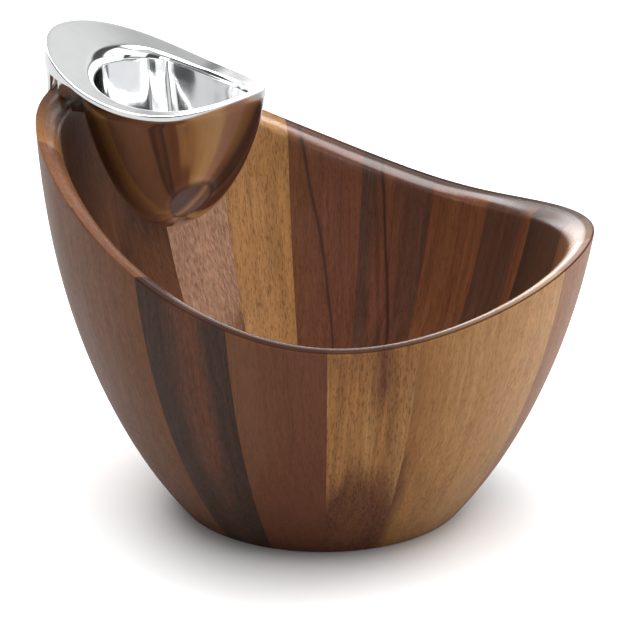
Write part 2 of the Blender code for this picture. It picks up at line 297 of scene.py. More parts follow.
# Each stave's board: tones from its lower seam bearing to its higher one, at the rim, half way and at the
# foot. A streak is (place across at the rim, place across at the foot, half width, strength). "pores",
# "ripple" and "bands" say how strongly the short dark dashes, the rippled figure and the long lines show,
# and "soak" how dark the end grain is.
BOARDS = {
    "stave_01": dict(rim=((0, "brown"), (0.6, "brown"), (1, "chestnut")),
                     foot=((0, "brown"), (1, "chestnut")), pores=0.5, ripple=0.5, bands=0.8, soak=0.6),
    "stave_02": dict(rim=((0, "coffee"), (0.25, "coffee"), (0.4, "mahogany"), (0.62, "russet"),
                          (0.74, "umber"), (0.8, "coffee"), (1, "coffee")),
                     foot=((0, "umber"), (0.2, "coffee"), (0.5, "umber"), (0.8, "coffee"), (1, "coffee")),
                     pores=0.4, ripple=0.9, bands=0.9),
    "stave_03": dict(rim=((0, "chestnut"), (0.2, "chestnut"), (0.5, "russet"), (1, "russet")),
                     foot=((0, "russet"), (1, "russet")), pores=0.3, ripple=0.25, bands=0.5),
    "stave_04": dict(rim=((0, "hazel"), (0.5, "hazel"), (0.65, "russet"), (0.78, "hazel"), (1, "honey")),
                     middle=((0, "honey"), (0.4, "honey"), (0.5, "tan"), (0.6, "honey"), (0.8, "hazel"),
                             (1, "tan")),
                     # The darker russet and chestnut foot is partly painted shade near the base.
                     foot=((0, "russet"), (0.4, "chestnut"), (0.8, "russet"), (1, "chestnut")),
                     pores=1.0, ripple=0.3, bands=1.4),
    "stave_05": dict(rim=((0, "hazel"), (0.12, "honey"), (0.5, "tan"), (0.8, "straw"), (1, "tan")),
                     # The chestnut at the left of the foot is partly painted shade near the base.
                     foot=((0, "chestnut"), (0.2, "honey"), (1, "tan")), pores=0.5, ripple=0.5, bands=0.8),
    "stave_06": dict(rim=((0, "straw"), (1, "cream")), foot=((0, "straw"), (1, "straw")),
                     pores=0.6, ripple=0.4, bands=0.6),
    "stave_07": dict(rim=((0, "clay"), (1, "clay")), foot=((0, "clay"), (1, "clay")),
                     pores=0.5, ripple=0.4, bands=0.7),
    "stave_08": dict(rim=((0, "hazel"), (1, "brown")), foot=((0, "brown"), (1, "brown")),
                     pores=0.5, ripple=0.4, bands=0.8),
    "stave_09": dict(rim=((0, "umber"), (0.5, "umber"), (1, "coffee")), foot=((0, "umber"), (1, "coffee")),
                     pores=0.4, ripple=0.3, bands=0.8),
    "stave_10": dict(rim=((0, "chestnut"), (0.12, "russet"), (0.3, "umber"), (1, "umber")),
                     foot=((0, "russet"), (0.3, "coffee"), (1, "coffee")), pores=0.4, ripple=0.3, bands=1.0),
    "stave_11": dict(rim=((0, "russet"), (0.2, "chestnut"), (0.35, "russet"), (0.65, "chestnut"),
                          (1, "russet")),
                     foot=((0, "umber"), (0.6, "chestnut"), (1, "chestnut")),
                     pores=0.5, ripple=0.3, bands=1.2),
    "stave_12": dict(rim=((0, "umber"), (0.3, "mahogany"), (0.7, "russet"), (0.9, "umber"), (1, "umber")),
                     foot=((0, "russet"), (1, "umber")),
                     streaks=((0.80, 0.12, 0.05, 0.85), (0.92, 0.3, 0.06, 0.35)),
                     pores=0.5, ripple=0.4, bands=1.3),
    "stave_13": dict(rim=((0, "russet"), (0.5, "russet"), (1, "chestnut")),
                     foot=((0, "russet"), (1, "russet")), streaks=((0.78, 0.10, 0.04, 0.75),),
                     pores=0.5, ripple=0.4, bands=0.9),
    "stave_14": dict(rim=((0, "tan"), (0.2, "tan"), (0.5, "straw"), (1, "straw")),
                     foot=((0, "tan"), (0.6, "straw"), (1, "cream")), pores=1.0, ripple=0.5, bands=0.8),
    "stave_15": dict(rim=((0, "rose"), (1, "rose")), foot=((0, "brown"), (0.6, "clay"), (1, "clay")),
                     pores=0.9, ripple=1.3, bands=0.6),
    # This board's darker umber rim is partly painted shadow of the dip bowl.
    "stave_16": dict(rim=((0, "umber"), (0.6, "umber"), (1, "brown")),
                     middle=((0, "brown"), (0.5, "brown"), (1, "umber")),
                     foot=((0, "rose"), (0.5, "clay"), (1, "brown")),
                     pores=0.6, ripple=0.8, bands=0.8),
    "stave_17": dict(rim=((0, "brown"), (1, "brown")), foot=((0, "hazel"), (1, "brown")),
                     pores=0.5, ripple=0.4, bands=0.8, soak=0.2),
    "stave_18": dict(rim=((0, "brown"), (1, "hazel")), foot=((0, "hazel"), (1, "brown")),
                     pores=0.5, ripple=0.3, bands=0.8, soak=0.1),
    "stave_19": dict(rim=((0, "brown"), (1, "brown")), foot=((0, "brown"), (1, "brown")),
                     pores=0.5, ripple=0.5, bands=0.8, soak=0.1),
    "base_disc": dict(rim=BASE_TONES, foot=BASE_TONES, pores=0.5, ripple=0.3, bands=1.0),
}


def smooth_line(points):
    """A natural cubic spline through the points, as a function of their first coordinate."""
    x, y = np.array(points, float).T
    step = np.diff(x)
    slope = np.diff(y) / step
    count = len(x)
    matrix = np.eye(count)
    right = np.zeros(count)
    for i in range(1, count - 1):
        matrix[i, i - 1:i + 2] = step[i - 1], 2 * (step[i - 1] + step[i]), step[i]
        right[i] = 6 * (slope[i] - slope[i - 1])
    bend = np.linalg.solve(matrix, right)

    def height(at):
        i = int(np.clip(np.searchsorted(x, at) - 1, 0, count - 2))
        low, high, h = at - x[i], x[i + 1] - at, step[i]
        cubic = (bend[i] * high ** 3 + bend[i + 1] * low ** 3) / (6 * h)
        before, after = y[i] / h - bend[i] * h / 6, y[i + 1] / h - bend[i + 1] * h / 6
        return float(cubic + before * high + after * low)

    return height


def rounded(before, corner, after, reach_before, reach_after, steps):
    """Points on a circular or nearly circular arc that replaces a corner between two neighbours."""
    toward, away = before - corner, after - corner
    start = corner + toward * (reach_before / np.linalg.norm(toward))
    end = corner + away * (reach_after / np.linalg.norm(away))
    inside = np.dot(toward, away) / (np.linalg.norm(toward) * np.linalg.norm(away))
    weight = math.sqrt(max(0.0, (1 - inside) / 2))
    points = []
    for i in range(steps + 1):
        t = i / steps
        parts = (1 - t) ** 2, 2 * weight * t * (1 - t), t * t
        points.append((parts[0] * start + parts[1] * corner + parts[2] * end) / sum(parts))
    return points


# ---------------------------------------------------------------- what the CAD model says

def node_faces(names):
    """The faces of some CAD nodes, each with the places of its vertices."""
    for name in names:
        mesh = frame["nodes"][name].data
        for face in mesh.polygons:
            yield face, [mesh.vertices[i].co for i in face.vertices]


def read_outside():
    """The staves' outside radius as a polynomial of height, from the CAD faces that look outwards."""
    points = []
    for face, corners in node_faces(STAVES):
        outward = Vector((face.center.x, face.center.y, 0)).normalized()
        if face.normal.dot(outward) > 0.5 and face.normal.z < 0.05:
            points += [(co.z, math.hypot(co.x, co.y)) for co in corners]
    z, r = np.array(points).T
    return np.polynomial.Polynomial.fit(z, r - OUTSIDE_INSET, CURVE_TERMS)


def read_rim():
    """The rim's height as a polynomial of x, from the CAD faces of the rim."""
    points = []
    for face, corners in node_faces(STAVES):
        if face.center.z > RIM_READ_ABOVE and face.normal.z > 0.5 and abs(face.normal.y) < 0.02:
            points += [(co.x, co.z) for co in corners]
    x, z = np.array(points).T
    return np.polynomial.Polynomial.fit(x, z, CURVE_TERMS)


def read_seams():
    """The bearing of each stave's first seam, and the width to the next one, from the CAD vertices."""
    spans = []
    for name in STAVES:
        low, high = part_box(name)
        middle = math.atan2(low.y + high.y, low.x + high.x)
        turns = []
        for vertex in frame["nodes"][name].data.vertices:
            turn = math.atan2(vertex.co.y, vertex.co.x) - middle
            turns.append(middle + (turn + math.pi) % (2 * math.pi) - math.pi)
        spans.append((min(turns), max(turns)))
    seams = []
    for i, span in enumerate(spans):
        before = spans[i - 1][1]
        seams.append(span[0] - ((span[0] - before + math.pi) % (2 * math.pi) - math.pi) / 2)
    widths = [(after - first) % (2 * math.pi) for first, after in zip(seams, seams[1:] + seams[:1])]
    return seams, widths


outside_radius = read_outside()
outside_slope = outside_radius.deriv()
rim_height = read_rim()
DISC_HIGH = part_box("base_disc")[1]
DISC_RADIUS = DISC_HIGH.x
FLOOR = DISC_HIGH.z
DIP_LOW, DIP_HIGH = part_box("dip_bowl")
TIP = -DIP_HIGH.x
HALF_WIDTH = DIP_HIGH.y
BODY_BOTTOM = DIP_LOW.z
top_edge = smooth_line(TOP_EDGE)


# ---------------------------------------------------------------- wooden bowl

def outer_point(z):
    return np.array((float(outside_radius(z)), z))


def inner_point(z):
    lean = math.atan(float(outside_slope(z)))
    return outer_point(z) + WALL * np.array((-math.cos(lean), math.sin(lean)))


def rim_crossing(curve, bearing):
    """The parameter at which a wall curve meets the rim's surface at a bearing."""
    low, high = RIM_SEARCH
    for _ in range(RIM_SEARCH_STEPS):
        middle = (low + high) / 2
        r, z = curve(middle)
        if z < rim_height(r * math.cos(bearing)):
            low = middle
        else:
            high = middle
    return low


def wall_section(bearing):
    """The wall's closed section at a bearing, as (radius, height) from the foot up and round."""
    outer_end = rim_crossing(outer_point, bearing)
    inner_end = rim_crossing(inner_point, bearing)
    outer_corner, inner_corner = outer_point(outer_end), inner_point(inner_end)
    seat = DISC_RADIUS + SEAM

    points = rounded(np.array((seat, 0.0)), outer_point(0), outer_point(FOOT_TANGENT), FOOT_ROUNDING,
                     FOOT_ROUNDING, ARC_STEPS)
    first = points[-1][1]
    for share in np.linspace(0, 1, OUTSIDE_ROWS + 1)[1:-1]:
        points.append(outer_point(first + (outer_end - RIM_OUTER_ROUNDING - first) * share))

    points += rounded(outer_point(outer_end - RIM_OUTER_TANGENT), outer_corner, inner_corner,
                      RIM_OUTER_ROUNDING, RIM_OUTER_ROUNDING, ARC_STEPS)
    across = outer_corner - inner_corner
    start, end = points[-1], inner_corner + across * (RIM_INNER_REACH / np.linalg.norm(across))
    for share in np.linspace(0, 1, RIM_ROWS + 1)[1:-1]:
        points.append(start + (end - start) * share)
    points += rounded(outer_corner, inner_corner, inner_point(inner_end - RIM_INNER_TANGENT),
                      RIM_INNER_REACH, RIM_INNER_ROUNDING, 2 * ARC_STEPS)

    last = inner_end - RIM_INNER_ROUNDING
    for share in np.linspace(0, 1, INSIDE_ROWS + 1)[1:-1]:
        points.append(inner_point(last + (INSIDE_FOOT - last) * share))
    return points + seat_section(seat)


def seat_section(seat):
    """The lowest part of the wall's section: the curve into the floor, and the edge round the disc."""
    wall_foot = inner_point(INSIDE_FOOT)
    downward = wall_foot - inner_point(INSIDE_FOOT + INSIDE_FOOT_TANGENT)
    downward /= np.linalg.norm(downward)
    corner = wall_foot + downward * ((FLOOR - wall_foot[1]) / downward[1])
    reach = np.linalg.norm(wall_foot - corner) * INSIDE_FOOT_SHARE
    points = rounded(wall_foot, corner, np.array((seat, FLOOR)), reach,
                     min(reach, corner[0] - seat - DISC_EDGE), ARC_STEPS)
    points.append(np.array((seat + DISC_EDGE, FLOOR)))
    points.append(np.array((seat, FLOOR - DISC_EDGE)))
    points.append(np.array((seat, DISC_EDGE)))
    points.append(np.array((seat + DISC_EDGE, 0)))
    return points


def finish_mesh(name, mesh):
    mesh.validate()
    bm = bmesh.new()
    bm.from_mesh(mesh)
    bmesh.ops.recalc_face_normals(bm, faces=bm.faces)
    bm.to_mesh(mesh)
    bm.free()
    mesh.shade_smooth()
    mesh.set_sharp_from_angle(angle=SHARP_ANGLE)
    made = bpy.data.objects.new(name, mesh)
    bpy.context.scene.collection.objects.link(made)
    return made


def ring_solid(name, rings):
    """A closed solid from open rows of closed sections, with a flat cap at each end."""
    count = len(rings[0])
    verts = [tuple(point) for ring in rings for point in ring]
    faces = [tuple(reversed(range(count)))]
    for row in range(len(rings) - 1):
        for i in range(count):
            after = (i + 1) % count
            a, b = row * count, (row + 1) * count
            faces.append((a + i, a + after, b + after, b + i))
    last = (len(rings) - 1) * count
    faces.append(tuple(range(last, last + count)))
    mesh = bpy.data.meshes.new(name)
    mesh.from_pydata(verts, [], faces)
    return finish_mesh(name, mesh)


def board_axes(bearing):
    """A board's own axes: across it, along its grain and through its thickness."""
    foot, top = outer_point(BOARD_LEAN_FOOT), outer_point(BOARD_LEAN_TOP)
    lean = math.atan2(top[0] - foot[0], top[1] - foot[1])
    outward = np.array((math.cos(bearing), math.sin(bearing), 0))
    across = np.array((-math.sin(bearing), math.cos(bearing), 0))
    along = outward * math.sin(lean) + np.array((0, 0, math.cos(lean)))
    return across, along, np.cross(across, along)


def write_vectors(mesh, **layers):
    """Writes vectors to the mesh's vertices as named attributes."""
    for name, values in layers.items():
        layer = mesh.attributes.new(name, "FLOAT_VECTOR", "POINT")
        layer.data.foreach_set("vector", values.astype(np.float32).ravel())


def mark_wood(piece, middle, width):
    """Writes where each vertex lies in its board, and its share of the width, end grain and rim polish."""
    mesh = piece.data
    places = np.array([vertex.co for vertex in mesh.vertices])
    across, along, through = board_axes(middle)
    board = np.stack([places @ across, places @ along, places @ through], 1)
    radius = np.hypot(places[:, 0], places[:, 1])
    turn = np.arctan2(places[:, 1], places[:, 0]) - middle
    turn = (turn + math.pi) % (2 * math.pi) - math.pi
    share = np.clip(turn / width + 0.5, 0, 1)
    facing = np.array([face.normal for face in mesh.polygons]) @ along
    corners = np.array([(face.index, vertex) for face in mesh.polygons for vertex in face.vertices])
    end_grain = np.zeros(len(places))
    np.maximum.at(end_grain, corners[:, 1], np.abs(facing[corners[:, 0]]) ** 2)
    below_rim = rim_height(places[:, 0]) - places[:, 2]
    from_outside = outside_radius(places[:, 2]) - radius
    polish = np.clip((from_outside - RIM_POLISH_START) / RIM_POLISH_FADE, 0, 1)
    polish *= np.exp(-(below_rim / RIM_POLISH_DEPTH) ** 2)
    write_vectors(mesh, board=board, zone=np.stack([share, end_grain, polish], 1))


def make_staves():
    seams, widths = read_seams()
    for name, seam, width in zip(STAVES, seams, widths):
        rings = []
        for share in np.linspace(0, 1, BEARINGS_PER_STAVE + 1):
            bearing = seam + width * share
            shift = SEAM / 2 * (1 if share == 0 else -1 if share == 1 else 0)
            side = np.array((-math.sin(bearing), math.cos(bearing), 0)) * shift
            rings.append([np.array((r * math.cos(bearing), r * math.sin(bearing), z)) + side
                          for r, z in wall_section(bearing)])
        stave = ring_solid(name + "_wood", rings)
        if name == PEAK_STAVE:
            cut_rebate(stave)
        mark_wood(stave, seam + width / 2, width)
        place_wood(stave, name)


def place_wood(piece, node):
    piece.data.materials.append(wood(node, **BOARDS[node]))
    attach(piece, "wood_bowl")
    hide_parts(node)
    record_slot(node)


def record_slot(node):
    """The record's material slot of a CAD node."""
    slots = {part["node"]: part["material_slot"] for part in frame["record"]["subparts"]}
    return slots[node]


def extruded(name, outline, half_width, rounding):
    """A solid with an outline in the XZ plane, half_width to each side of it, with rounded edges."""
    bm = bmesh.new()
    verts = [bm.verts.new((x, -half_width, z)) for x, z in outline]
    face = bm.faces.new(verts)
    top = bmesh.ops.extrude_face_region(bm, geom=[face])
    moved = [item for item in top["geom"] if isinstance(item, bmesh.types.BMVert)]
    bmesh.ops.translate(bm, verts=moved, vec=(0, 2 * half_width, 0))
    bmesh.ops.recalc_face_normals(bm, faces=bm.faces)
    if rounding:
        bmesh.ops.bevel(bm, geom=bm.edges[:], offset=rounding, segments=3, profile=0.5, affect="EDGES",
                        clamp_overlap=True)
    mesh = bpy.data.meshes.new(name)
    bm.to_mesh(mesh)
    bm.free()
    made = bpy.data.objects.new(name, mesh)
    bpy.context.scene.collection.objects.link(made)
    return made


def combine(target, other, operation):
    """Applies an exact Boolean and removes the other object."""
    change = target.modifiers.new(operation.lower(), "BOOLEAN")
    change.operation = operation
    change.solver = "EXACT"
    change.object = other
    bpy.context.view_layer.update()
    evaluated = target.evaluated_get(bpy.context.evaluated_depsgraph_get())
    mesh = bpy.data.meshes.new_from_object(evaluated)
    target.modifiers.clear()
    target.data = mesh
    bpy.data.objects.remove(other)
    mesh.shade_smooth()
    mesh.set_sharp_from_angle(angle=SHARP_ANGLE)


def cut_rebate(stave):
    """Cuts the shallow seat of the hook's tongue out of the stave's outside."""
    inner, foot = GAP - TONGUE_INNER, TONGUE_FOOT - 2 * GAP
    outline = [(inner, foot), (inner, REBATE_TOP), (-REBATE_OUT, REBATE_TOP), (-REBATE_OUT, foot)]
    cutter = extruded("rebate", outline, TONGUE_HALF_WIDTH + GAP, REBATE_ROUNDING)
    combine(stave, cutter, "DIFFERENCE")


def make_disc():
    """The turned floor of the bowl, as rings from the middle of its underside to the middle of its top."""
    underside = [(r, 0) for r in DISC_RINGS]
    edge = [(DISC_RADIUS - DISC_EDGE, 0), (DISC_RADIUS, DISC_EDGE),
            (DISC_RADIUS, FLOOR - DISC_EDGE), (DISC_RADIUS - DISC_EDGE, FLOOR)]
    top = [(r, FLOOR) for r in reversed(DISC_RINGS)]
    rings = []
    for r, z in underside + edge + top:
        rings.append([Vector((r * math.cos(a), r * math.sin(a), z))
                      for a in np.linspace(0, 2 * math.pi, DISC_SIDES, endpoint=False)])
    disc = loft("base_disc_wood", rings, (0, 0, 0), (0, 0, FLOOR))
    places = np.array([vertex.co for vertex in disc.data.vertices])
    share = places[:, 1] / (2 * DISC_RADIUS) + 0.5
    zone = np.stack([share, np.zeros(len(share)), np.zeros(len(share))], 1)
    write_vectors(disc.data, board=places[:, [1, 0, 2]] + np.array(DISC_BOARD_SHIFT), zone=zone)
    place_wood(disc, "base_disc")


# ---------------------------------------------------------------- dip bowl

def leaf(tip, widest, end, half_width, end_power):
    """A leaf-shaped outline in plan as (out, width) from the tip along one side, round the end and back."""
    quarter = POINTS_AROUND // 4
    side = []
    for i in range(quarter):
        turn = math.pi / 2 * i / quarter
        side.append((tip + (widest - tip) * (1 - math.cos(turn)), half_width * math.sin(turn) ** TIP_POWER))
    for i in range(quarter + 1):
        turn = math.pi / 2 * i / quarter
        across = half_width * math.cos(turn) ** end_power if i < quarter else 0
        side.append((widest + (end - widest) * math.sin(turn), across))
    return side + [(out, -across) for out, across in reversed(side[1:-1])]


def relaxed(outline, reach):
    """The outline with points evenly spaced and its changes of curvature spread over a reach, tip apart."""
    points = np.array(outline + outline[:1])
    steps = np.hypot(*np.diff(points, axis=0).T)
    travelled = np.concatenate([[0], np.cumsum(steps)])
    even = np.linspace(0, travelled[-1], POINTS_AROUND, endpoint=False)
    points = np.stack([np.interp(even, travelled, points[:, 0]), np.interp(even, travelled, points[:, 1])], 1)
    spacing = travelled[-1] / POINTS_AROUND
    from_tip = np.minimum(even, travelled[-1] - even)
    free = np.clip(from_tip / TIP_KEEP, TIP_FREEDOM, 1)[:, None]
    for _ in range(int(2 * (reach / spacing) ** 2)):
        middle = (np.roll(points, 1, 0) + np.roll(points, -1, 0)) / 2
        points += (middle - points) * free / 2
    return [(float(out), float(across)) for out, across in points]


def flange_outline(end):
    return relaxed(leaf(TIP, WIDEST, end, HALF_WIDTH, FLANGE_END_POWER), FLANGE_RELAX)


def ring(outline, height):
    return [np.array((-out, across, height(out))) for out, across in outline]


def foot_height(out):
    return min(top_edge(out) - EDGE_THICKNESS, FLANGE_FOOT)


def hollow_ring(outline, top, bottom, fullness, taper, depth):
    """One ring of a rounded bowl under an outline, at a share of the depth from its top to its bottom."""
    shrink = math.sqrt(1 - depth ** fullness)
    low = min(out for out, across in outline)
    high = max(out for out, across in outline)
    half_width = max(across for out, across in outline)
    middle, reach = (low + high) / 2, (high - low) / 2
    points = []
    for out, across in outline:
        oval = half_width * math.sqrt(max(0, 1 - ((out - middle) / reach) ** 2))
        share = SECTION_ROUNDING * depth
        width = abs(across) * (1 - share) + oval * share
        z = top(out) - (top(out) - bottom) * depth
        x = BODY_CENTRE + (out - BODY_CENTRE) * shrink
        drawn_in = shrink * (1 - taper * depth * (1 - depth) ** 2)
        points.append(np.array((-x, math.copysign(width, across) * drawn_in, z)))
    return points


def smoothstep(low, high, value):
    t = min(1.0, max(0.0, (value - low) / (high - low)))
    return t * t * (3 - 2 * t)


def bowl_depths(rows, first):
    """Depths that crowd towards the bottom, where a rounded bowl turns in."""
    turns = np.linspace(0, 1, rows + 1)[:-1]
    return [first + (1 - first) * (1 - (1 - t) ** DEPTH_POWER) for t in turns]


def body_top(out):
    return min(top_edge(out) - BODY_BELOW_EDGE, BODY_TOP)


def mouth_height(out):
    return top_edge(out) - CAVITY_DIP * (out - TIP) / (CAVITY_END - TIP)


def casting_meridians():
    """The dip bowl's surface as one line for each point round it, from the outside's pole to the cavity's."""
    body = relaxed(leaf(TIP, WIDEST, BODY_END, BODY_HALF_WIDTH, BODY_END_POWER), BODY_RELAX)
    underside = ring(flange_outline(UNDERSIDE_END), lambda out: foot_height(out) - UNDERSIDE_RISE)
    foot = ring(flange_outline(FLANGE_FOOT_END), foot_height)
    edge = ring(flange_outline(FLANGE_END), top_edge)
    opening = relaxed(leaf(CAVITY_TIP, CAVITY_WIDEST, CAVITY_END, CAVITY_HALF_WIDTH, CAVITY_END_POWER),
                      CAVITY_RELAX)
    mouth = ring(opening, mouth_height)
    body_rows = [hollow_ring(body, body_top, BODY_BOTTOM, BODY_FULLNESS, BODY_TAPER, depth)
                 for depth in reversed(bowl_depths(BODY_ROWS, FIRST_DEPTH))]
    cavity_rows = [hollow_ring(opening, mouth_height, CAVITY_BOTTOM, CAVITY_FULLNESS, 0, depth)
                   for depth in bowl_depths(CAVITY_ROWS, CAVITY_FIRST_DEPTH)]
    lines = []
    for i in range(POINTS_AROUND):
        wall = [row[i] for row in body_rows]
        hollow = [row[i] for row in cavity_rows]
        lip = flange_section(wall[-1], underside[i], foot[i], edge[i], mouth[i], hollow[0])
        lines.append(wall + lip + hollow)
    return lines


def flange_section(wall, underside, foot, edge, mouth, hollow):
    """The line from the top of the body under, round and over the flange to the top of the cavity."""
    ledge = smoothstep(LEDGE_START, LEDGE_FULL, np.linalg.norm((foot - wall)[:2]))
    out_end = smoothstep(OUT_END_START, FLANGE_END, -edge[0])
    under = underside * ledge + (wall * 2 / 3 + edge / 3) * (1 - ledge)
    lower = foot * ledge + (wall / 3 + edge * 2 / 3) * (1 - ledge)

    def limited(rounding, first, second):
        size = rounding[0] + rounding[1] * out_end
        return min(size, np.linalg.norm(first - second) * ROUNDING_SHARE)

    under_reach = min(limited(UNDER_ROUNDING, under, wall), limited(UNDER_ROUNDING, under, lower))
    lower_reach = min(limited(LOWER_ROUNDING, edge, lower), limited(LOWER_ROUNDING, lower, under))
    edge_reach = limited(EDGE_ROUNDING, edge, lower)
    mouth_reach = MOUTH_ROUNDING[0] + MOUTH_ROUNDING[1] * out_end
    line = rounded(wall, under, lower, under_reach, under_reach, UNDER_STEPS)
    line += rounded(under, lower, edge, lower_reach, lower_reach, EDGE_STEPS)
    line += rounded(lower, edge, mouth, edge_reach, edge_reach, EDGE_STEPS)
    inward = (edge - mouth) / np.linalg.norm(edge - mouth)
    start, end = line[-1], mouth + inward * mouth_reach
    for share in np.linspace(0, 1, FLANGE_ROWS + 1)[1:-1]:
        line.append(start + (end - start) * share)
    line += rounded(edge, mouth, hollow, mouth_reach,
                    min(mouth_reach, np.linalg.norm(hollow - mouth) * MOUTH_SHARE), MOUTH_STEPS)
    return line


def loft(name, rings, first_pole, last_pole):
    """Joins rings of equal length by quads and closes each end on a pole."""
    count = len(rings[0])
    verts = [tuple(point) for points in rings for point in points] + [tuple(first_pole), tuple(last_pole)]
    faces = []
    for row in range(len(rings) - 1):
        for i in range(count):
            after = (i + 1) % count
            a, b = row * count, (row + 1) * count
            faces.append((a + i, a + after, b + after, b + i))
    first, last = len(verts) - 2, len(verts) - 1
    top = (len(rings) - 1) * count
    for i in range(count):
        after = (i + 1) % count
        faces.append((first, after, i))
        faces.append((last, top + i, top + after))
    mesh = bpy.data.meshes.new(name)
    mesh.from_pydata(verts, [], faces)
    return finish_mesh(name, mesh)


def make_hook():
    """The saddle and its cheek, and the tongue with the arch that carries it."""
    def over_rim(out):
        return float(rim_height(-out)) + GAP

    tongue_start = SADDLE_END - HOOK_OVERLAP
    tongue_root = HOOK_ROOT + HOOK_OVERLAP
    saddle = [(CHEEK_FOOT_START, CHEEK_FOOT), (CHEEK_FACE, CHEEK_FOOT),
              (CHEEK_FACE, over_rim(SADDLE_INNER_END)), (SADDLE_END, over_rim(SADDLE_END)),
              (SADDLE_END, HOOK_ROOT), (CHEEK_ROOT_START, HOOK_ROOT)]
    tongue = [(tongue_start, ARCH_FOOT), (TONGUE_INNER, ARCH_FOOT), (TONGUE_INNER, TONGUE_FOOT),
              (TONGUE_OUTER, TONGUE_FOOT), (TONGUE_OUTER, FLANGE_FOOT),
              (FLANGE_END - HOOK_OVERLAP, tongue_root), (tongue_start, tongue_root)]
    solids = []
    for name, outline, half_width in (("hook_saddle", saddle, SADDLE_HALF_WIDTH),
                                      ("hook_tongue", tongue, TONGUE_HALF_WIDTH)):
        solids.append(extruded(name, [(-out, z) for out, z in outline], half_width, HOOK_ROUNDING))
    return solids


def mark_outside(casting):
    """Writes how far each vertex faces outwards from the bowl's middle, 0 in the cavity and 1 outside."""
    mesh = casting.data
    values = []
    for vertex in mesh.vertices:
        outward = Vector((vertex.co.x + BODY_CENTRE, vertex.co.y, 0)).normalized()
        facing = 0.5 + 2 * vertex.normal.dot(outward) - 2 * max(0.0, vertex.normal.z)
        values.append(min(1.0, max(0.0, facing)))
    layer = mesh.attributes.new("outside", "FLOAT", "POINT")
    layer.data.foreach_set("value", values)


def make_dip_bowl():
    lines = casting_meridians()
    rings = [[line[row] for line in lines] for row in range(len(lines[0]))]
    casting = loft("dip_bowl_casting", rings, (-BODY_CENTRE, 0, BODY_BOTTOM),
                   (-BODY_CENTRE, 0, CAVITY_BOTTOM))
    for solid in make_hook():
        combine(casting, solid, "UNION")
    mark_outside(casting)
    casting.data.materials.clear()
    casting.data.materials.append(alloy())
    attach(casting, "dip_bowl")
    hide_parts("dip_bowl")


# ---------------------------------------------------------------- materials

class Graph:
    """Short names for making and linking the nodes of one shader tree."""

    def __init__(self, tree):
        self.tree = tree

    def put(self, value, socket):
        if isinstance(value, bpy.types.NodeSocket):
            self.tree.links.new(value, socket)
        elif value is not None:
            socket.default_value = value

    def node(self, kind, settings=(), **values):
        made = self.tree.nodes.new("ShaderNode" + kind)
        for key, value in dict(settings).items():
            setattr(made, key, value)
        for key, value in values.items():
            self.put(value, made.inputs[key])
        return made

    def math(self, operation, a, b=0.0, clamp=False):
        made = self.node("Math", {"operation": operation, "use_clamp": clamp})
        self.put(a, made.inputs[0])
        self.put(b, made.inputs[1])
        return made.outputs[0]

    def attribute(self, name, output):
        return self.node("Attribute", {"attribute_name": name}).outputs[output]

    def parts(self, vector):
        """The three parts of a vector."""
        return self.node("SeparateXYZ", Vector=vector).outputs

    def scaled(self, vector, scale, shift=(0, 0, 0)):
        made = self.node("Mapping", {"vector_type": "POINT"}, Vector=vector)
        made.inputs["Scale"].default_value = scale
        made.inputs["Location"].default_value = shift
        return made.outputs[0]

    def turned(self, vector, angle):
        """The vector turned about its own Z."""
        made = self.node("VectorRotate", {"rotation_type": "Z_AXIS"}, Vector=vector)
        made.inputs["Angle"].default_value = angle
        return made.outputs[0]

    def noise(self, vector, scale, detail, roughness):
        made = self.node("TexNoise", Vector=self.scaled(vector, scale), Scale=1.0, Detail=detail,
                         Roughness=roughness)
        return made.outputs["Fac"]

    def fit(self, value, low, high, to_low=0.0, to_high=1.0, smooth=True):
        made = self.node("MapRange", {"interpolation_type": "SMOOTHSTEP" if smooth else "LINEAR"})
        for key, item in (("Value", value), ("From Min", low), ("From Max", high), ("To Min", to_low),
                          ("To Max", to_high)):
            self.put(item, made.inputs[key])
        return made.outputs["Result"]

    def ramp(self, value, stops):
        """A colour ramp through (place, tone) stops."""
        made = self.node("ValToRGB", Fac=value)
        ramp = made.color_ramp
        ramp.interpolation = "LINEAR"
        while len(ramp.elements) > 1:
            ramp.elements.remove(ramp.elements[0])
        first, *others = stops
        ramp.elements[0].position = first[0]
        ramp.elements[0].color = (*TONES[first[1]], 1)
        for place, tone in others:
            ramp.elements.new(place).color = (*TONES[tone], 1)
        return made.outputs["Color"]

    def mix(self, share, a, b, blend="MIX"):
        made = self.node("Mix", {"data_type": "RGBA", "blend_type": blend})
        self.put(share, made.inputs[0])
        self.put(a if isinstance(a, bpy.types.NodeSocket) else (*a, 1), made.inputs[6])
        self.put(b if isinstance(b, bpy.types.NodeSocket) else (*b, 1), made.inputs[7])
        return made.outputs[2]

    def shaded(self, colour, shade, share=1.0):
        """The colour with a share of it multiplied by a shade."""
        if share == 1.0:
            return self.mix(1.0, colour, shade, "MULTIPLY")
        return self.mix(share, colour, self.mix(1.0, colour, shade, "MULTIPLY"))

    def mottled(self, colour, value, spread, shades, strength=1.0):
        """The colour, darker to lighter as the value runs from a spread below its middle to as far above."""
        dark, light = (1 + shade * strength for shade in shades)
        grey = self.fit(value, 0.5 - spread, 0.5 + spread, dark, light, smooth=False)
        return self.shaded(colour, self.node("CombineColor", Red=grey, Green=grey, Blue=grey).outputs[0])


class Material(Graph):
    """The graph of a new material with a Principled shader."""

    def __init__(self, name):
        self.material = bpy.data.materials.new(name)
        self.material.use_nodes = True
        super().__init__(self.material.node_tree)
        self.shader = self.tree.nodes["Principled BSDF"]

    def give(self, value, key):
        """Gives a value to one of the shader's own inputs."""
        self.put(value, self.shader.inputs[key])

    def give_relief(self, height, strength, distance):
        bump = self.node("Bump", Height=height, Strength=strength, Distance=distance)
        self.give(bump.outputs["Normal"], "Normal")


